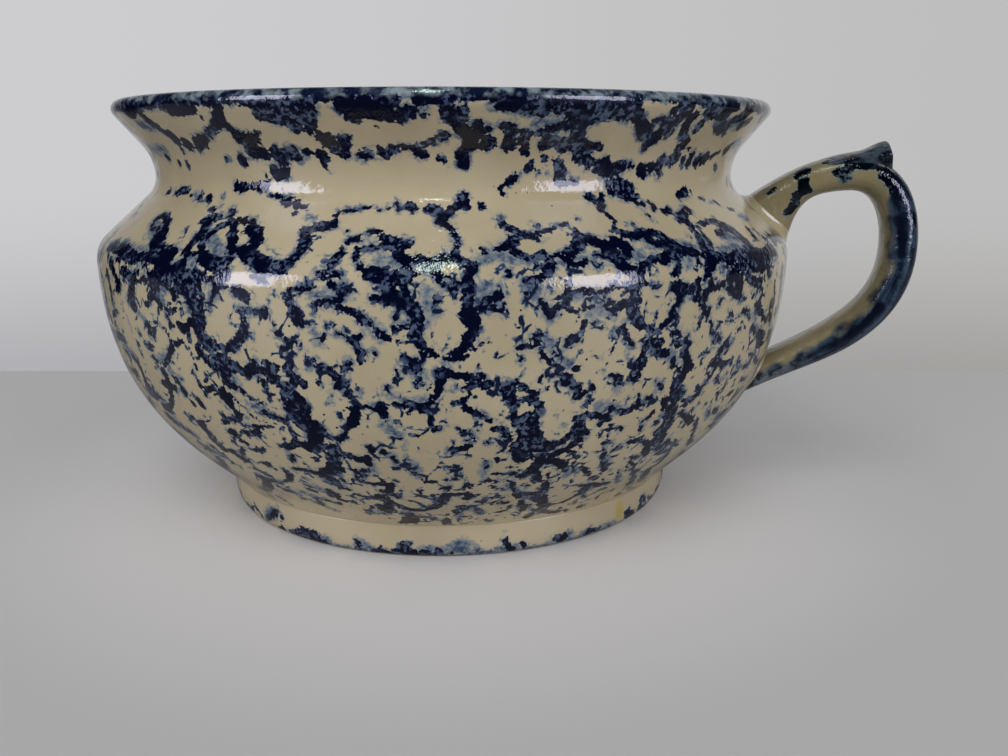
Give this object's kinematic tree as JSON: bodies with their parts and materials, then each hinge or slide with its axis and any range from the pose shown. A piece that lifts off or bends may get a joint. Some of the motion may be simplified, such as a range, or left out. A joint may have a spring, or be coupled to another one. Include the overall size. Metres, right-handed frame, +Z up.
{
  "type": "chamber pot",
  "caption": "Squat stoneware chamber pot with a flared rim, a foot ring and one loop handle with a thumb rest, sponge-printed in blue under a clear glaze.",
  "frame": {"origin": "middle of the foot ring, on the surface the pot stands on", "axes": "+Z up along the axis of the bowl, +X from the axis towards the handle"},
  "size_m": [0.2894, 0.245, 0.1408],
  "materials": {
    "sponged_glaze": "gloss",
    "foot_glaze": "gloss",
    "handle_glaze": "gloss",
    "slip": "gloss"
  },
  "bodies": {
    "root": {"pot_body": "sponged_glaze", "foot_ring": "foot_glaze", "handle": "handle_glaze", "thumb_rest": "handle_glaze", "upper_luting": "slip", "lower_luting": "slip"}
  },
  "joints": []
}
